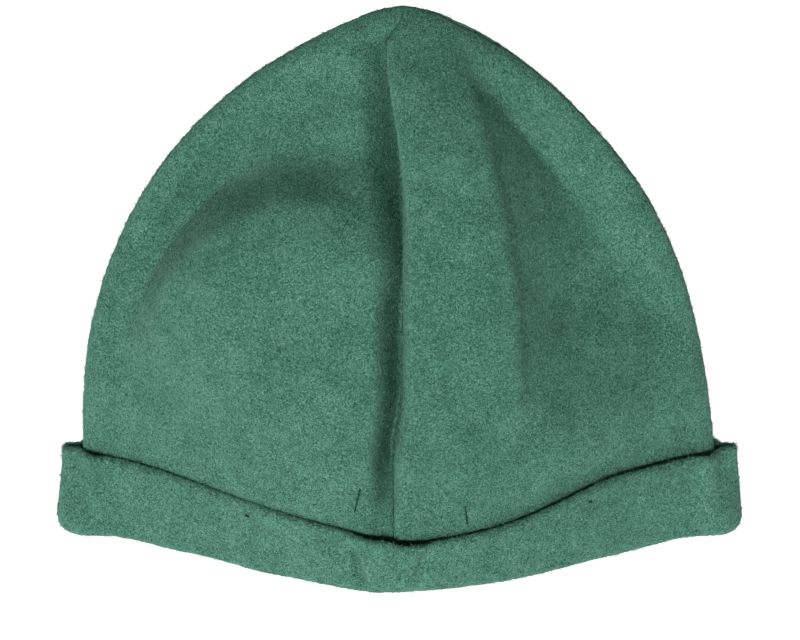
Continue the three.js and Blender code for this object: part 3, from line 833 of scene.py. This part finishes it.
class Shading:
    """A material, with a short way to add nodes that are already linked or set."""

    def __init__(self, name):
        self.material = bpy.data.materials.new(name)
        self.material.use_nodes = True
        self.tree = self.material.node_tree
        self.surface = self.tree.nodes["Principled BSDF"]

    def put(self, node, inputs):
        for key, value in inputs.items():
            if isinstance(value, bpy.types.NodeSocket):
                self.tree.links.new(value, node.inputs[key])
            else:
                node.inputs[key].default_value = value
        return node

    def add(self, kind, inputs, **settings):
        node = self.tree.nodes.new("ShaderNode" + kind)
        for key, value in settings.items():
            setattr(node, key, value)
        return self.put(node, inputs)

    def ramp(self, value, stops):
        node = self.add("ValToRGB", {"Fac": value})
        elements = node.color_ramp.elements
        while len(elements) < len(stops):
            elements.new(0.5)
        for element, (position, colour) in zip(elements, stops):
            element.position = position
            element.color = (*colour, 1)
        return node.outputs["Color"]

    def place(self):
        return self.add("TexCoord", {}).outputs["Object"]

    def noise(self, scale, detail, **more):
        inputs = {"Vector": self.place(), "Scale": scale, "Detail": detail, **more}
        return self.add("TexNoise", inputs).outputs["Fac"]

    def bands(self, direction, scale, distortion, **more):
        inputs = {"Vector": self.place(), "Scale": scale, "Distortion": distortion, **more}
        return self.add("TexWave", inputs, bands_direction=direction).outputs["Fac"]

    def math(self, operation, *values):
        return self.add("Math", dict(enumerate(values)), operation=operation).outputs[0]

    def spread(self, value, from_span, to_span):
        """Takes one span of values to another, and stays at its ends outside it."""
        inputs = {"Value": value, "From Min": from_span[0], "From Max": from_span[1]}
        inputs |= {"To Min": to_span[0], "To Max": to_span[1]}
        return self.add("MapRange", inputs).outputs["Result"]

    def bump(self, height, strength, distance):
        inputs = {"Height": height, "Strength": strength, "Distance": distance}
        return self.add("Bump", inputs).outputs["Normal"]


def wool_material():
    """Felted wool: clumps and stray fibres in several greens, with painted light that makes it a little
    paler low down.
    """
    s = Shading("boiled_wool")
    clumps = s.noise(1700, 3, Roughness=0.75, Distortion=1)
    strands = s.noise(1250, 1, Roughness=0.6, Distortion=2.5)
    patches = s.noise(70, 3, Roughness=0.65)
    off_line = s.math("ABSOLUTE", s.math("SUBTRACT", strands, 0.5))
    tone = s.math("ADD", clumps, s.spread(off_line, (0, 0.11), (0.32, 0)))
    height = s.add("SeparateXYZ", {"Vector": s.place()}).outputs["Z"]
    # Painted light: the colour is made paler below about 60 mm, standing in for light that falls on the
    # lower part from below.
    painted_low_light = s.spread(height, (0.018, 0.06), (0.035, 0))
    varied = s.math("ADD", s.spread(patches, (0, 1), (-0.09, 0.09)), painted_low_light)
    s.put(s.surface, {
        "Base Color": s.ramp(s.math("ADD", tone, varied), WOOL_STOPS),
        "Normal": s.bump(tone, 0.5, 0.0012),
        "Roughness": 0.95, "Specular IOR Level": 0.1,
        "Sheen Weight": 0.15, "Sheen Roughness": 0.4, "Sheen Tint": (0.5, 0.85, 0.7, 1),
    })
    return s.material


def nap_material():
    """Single wool fibres, paler than the felt that they stand on."""
    s = Shading("wool_nap")
    colour = s.ramp(s.noise(650, 2, Roughness=0.7), NAP_STOPS)
    s.put(s.surface, {"Base Color": colour, "Roughness": 0.8, "Specular IOR Level": 0.2})
    return s.material


def thread_material():
    """Spun thread: fine slanting plies with a slight gloss."""
    s = Shading("sewing_thread")
    plies = s.bands("DIAGONAL", 900, 2, Detail=2)
    s.put(s.surface, {
        "Base Color": s.ramp(plies, THREAD_STOPS), "Normal": s.bump(plies, 0.4, 0.0002),
        "Roughness": 0.7, "Specular IOR Level": 0.2,
    })
    return s.material


def ribbon_material(name, dark, light, roughness):
    """Close-woven tape: fine warp and weft threads crossing, with a little unevenness."""
    s = Shading(name)
    weave = s.math("MULTIPLY", s.bands("X", 550, 0.3), s.bands("Z", 800, 0.3))
    mixed = s.math("MULTIPLY_ADD", weave, s.noise(300, 3), 0.3)
    s.put(s.surface, {
        "Base Color": s.ramp(mixed, [(0.1, dark), (0.9, light)]),
        "Normal": s.bump(weave, 0.35, 0.0002),
        "Roughness": roughness, "Sheen Weight": 0.3, "Sheen Roughness": 0.4,
    })
    return s.material


# ---- Camera, lights and floor -------------------------------------------------------------------

CAMERA_LENS, CAMERA_SENSOR = 135, 36
CAMERA_ELEVATION = math.radians(24)
CAMERA_DISTANCE, CAMERA_TARGET = 1127.8, Vector((0, 0, 86.5))
FLOOR_REACH, LIGHT_DISTANCE = 6000, 1000
WHITE = (1, 1, 1, 1)


def face(thing, position, target):
    """Puts a camera or light at position, looking at target."""
    thing.location = position * MM
    thing.rotation_euler = (target - position).to_track_quat("-Z", "Y").to_euler()


def add_camera():
    data = bpy.data.cameras.new("camera")
    data.lens, data.sensor_width = CAMERA_LENS, CAMERA_SENSOR
    camera = link("camera", data)
    back = Vector((0, -math.cos(CAMERA_ELEVATION), math.sin(CAMERA_ELEVATION)))
    face(camera, CAMERA_TARGET + back * CAMERA_DISTANCE, CAMERA_TARGET)
    bpy.context.scene.camera = camera


def add_light(name, azimuth, elevation, softness, strength):
    """A soft far light. Azimuth is in degrees round from the front, positive to the right."""
    data = bpy.data.lights.new(name, "SUN")
    data.energy = strength
    data.angle = math.radians(softness)
    turn, lift = math.radians(azimuth), math.radians(elevation)
    level = math.cos(lift)
    side = Vector((math.sin(turn) * level, -math.cos(turn) * level, math.sin(lift)))
    face(link(name, data), side * LIGHT_DISTANCE, Vector((0, 0, 0)))


def add_floor():
    reach = FLOOR_REACH * MM
    corners = [(-reach, -reach, 0), (reach, -reach, 0), (reach, reach, 0), (-reach, reach, 0)]
    mesh = bpy.data.meshes.new("floor")
    mesh.from_pydata(corners, [], [(0, 1, 2, 3)])
    s = Shading("floor")
    s.put(s.surface, {
        "Base Color": (0.9, 0.9, 0.9, 1), "Roughness": 0.9, "Specular IOR Level": 0,
        "Emission Color": WHITE, "Emission Strength": 0.95,
    })
    mesh.materials.append(s.material)
    link("floor", mesh)


def add_world(strength):
    world = bpy.data.worlds.new("world")
    world.use_nodes = True
    sky = world.node_tree.nodes["Background"].inputs
    sky["Color"].default_value = WHITE
    sky["Strength"].default_value = strength
    bpy.context.scene.world = world
    bpy.context.scene.view_settings.view_transform = "Standard"


# ---- Making everything ----------------------------------------------------------------------------

add_camera()
add_world(strength=0.06)
add_floor()
add_light("key", azimuth=-14, elevation=3, softness=12, strength=3.15)
add_light("left rim", azimuth=-120, elevation=15, softness=40, strength=0.6)
add_light("right rim", azimuth=118, elevation=25, softness=40, strength=0.5)
add_light("back", azimuth=160, elevation=15, softness=45, strength=1.6)

wool, wool_nap, thread = wool_material(), nap_material(), thread_material()
ribbon = ribbon_material("woven_ribbon", RIBBON_DARK, RIBBON_LIGHT, roughness=0.55)
satin = ribbon_material("satin_label", SATIN_DARK, SATIN_LIGHT, roughness=0.35)

sides = {corner: cloth_sides(left, back) for corner, (left, back) in GORES.items()}
cloths = []
for seed, (corner, (wrong, right)) in enumerate(sides.items()):
    cloth = make_piece(
        corner + "_cloth", *close_sheet(wrong, right), wool, "boiled_wool", [corner + "_gore"],
    )
    fibres = make_piece(corner + "_nap", *nap(wrong, right, seed), wool_nap, "boiled_wool")
    cloths.append(cloth)

for name, shape in seam_threads(sides):
    make_piece(name + "_stitches", *shape, thread, "sewing_thread", [name])

fronts = [sides[corner] for corner in ("front_left", "front_right")]
outside = surface_tree([right[CROWN_START:] for wrong, right in fronts])
inside = surface_tree([wrong[CROWN_START:] for wrong, right in fronts])
turn_up = surface_tree([wrong[:FOLD_START] for wrong, right in sides.values()])
for name, ends in LABEL_ROWS.items():
    make_piece(name + "_sewn", *label_stitch_row(outside, ends), thread, "sewing_thread", [name])
for name in TACKS:
    make_piece(name + "_stitch", *tack_loop(name, turn_up), thread, "sewing_thread", [name])

label = make_piece("inner_label", *woven_label(inside), ribbon, "woven_ribbon", ["woven_label"])
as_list(cloths[:2])
care = make_piece("folded_care_label", *care_label(), satin, "satin_label", ["care_label"])
